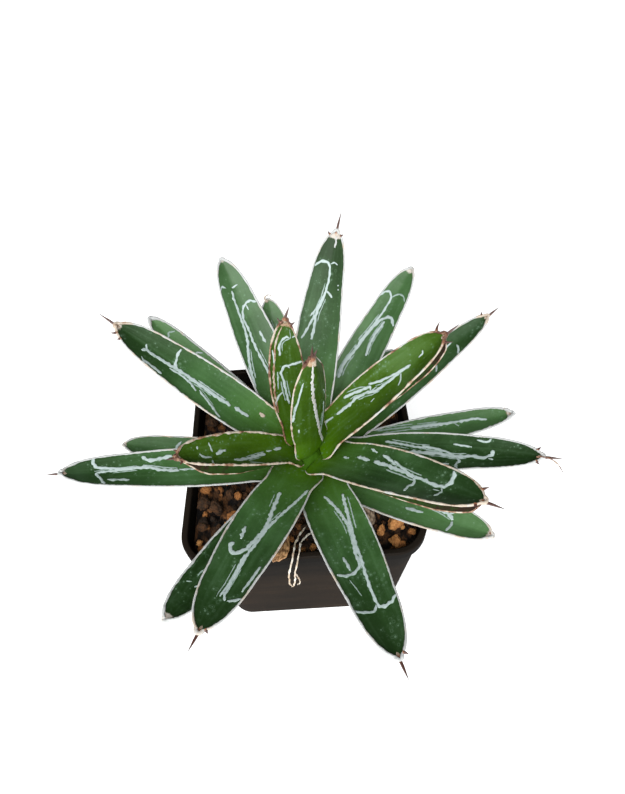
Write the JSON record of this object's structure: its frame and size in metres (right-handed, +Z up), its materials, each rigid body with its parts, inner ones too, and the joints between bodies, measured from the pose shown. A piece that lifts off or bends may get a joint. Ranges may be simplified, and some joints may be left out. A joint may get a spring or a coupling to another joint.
{
  "type": "potted agave",
  "caption": "Small rosette agave with white-marked, white-edged leaves and dark end spines, planted in granular soil in a square black nursery pot.",
  "frame": {"origin": "centre of the pot's flat underside, on the surface that it stands on", "axes": "+Z up; +X to the right and +Y away from someone who stands in front of the pot, parallel to the pot's sides"},
  "size_m": [0.1731, 0.1568, 0.1492],
  "materials": {
    "black_plastic": "satin",
    "soil": "matte",
    "stem": "matte",
    "leaf": "satin",
    "orange_grain": "matte",
    "brown_grain": "matte",
    "pale_grain": "matte",
    "dry_leaf": "matte",
    "dry_fibre": "matte"
  },
  "bodies": {
    "root": {"brown_grain_06": "brown_grain", "brown_grain_07": "brown_grain", "brown_grain_08": "brown_grain", "brown_grain_10": "brown_grain", "brown_grain_11": "brown_grain", "brown_grain_13": "brown_grain", "brown_grain_15": "brown_grain", "brown_grain_16": "brown_grain", "brown_grain_17": "brown_grain", "brown_grain_18": "brown_grain", "brown_grain_21": "brown_grain", "brown_grain_22": "brown_grain", "brown_grain_24": "brown_grain", "brown_grain_26": "brown_grain", "brown_grain_27": "brown_grain", "dead_leaf_scrap": "dry_leaf", "dry_leaf_fibre": "dry_fibre", "dry_leaf_flake": "dry_leaf", "leaf_01": "leaf", "leaf_02": "leaf", "leaf_03": "leaf", "leaf_04": "leaf", "leaf_05": "leaf", "leaf_06": "leaf", "leaf_07": "leaf", "leaf_08": "leaf", "leaf_09": "leaf", "leaf_10": "leaf", "leaf_11": "leaf", "leaf_12": "leaf", "leaf_13": "leaf", "leaf_14": "leaf", "leaf_15": "leaf", "leaf_16": "leaf", "leaf_17": "leaf", "leaf_18": "leaf", "leaf_19": "leaf", "leaf_20": "leaf", "leaf_21": "leaf", "nursery_pot": "black_plastic", "orange_grain_01": "orange_grain", "orange_grain_02": "orange_grain", "orange_grain_03": "orange_grain", "orange_grain_04": "orange_grain", "orange_grain_05": "orange_grain", "orange_grain_12": "orange_grain", "orange_grain_14": "orange_grain", "orange_grain_20": "orange_grain", "orange_grain_23": "orange_grain", "orange_grain_25": "orange_grain", "pale_grain_09": "pale_grain", "pale_grain_19": "pale_grain", "potting_soil": "soil", "stem_and_roots": "stem"}
  },
  "joints": []
}
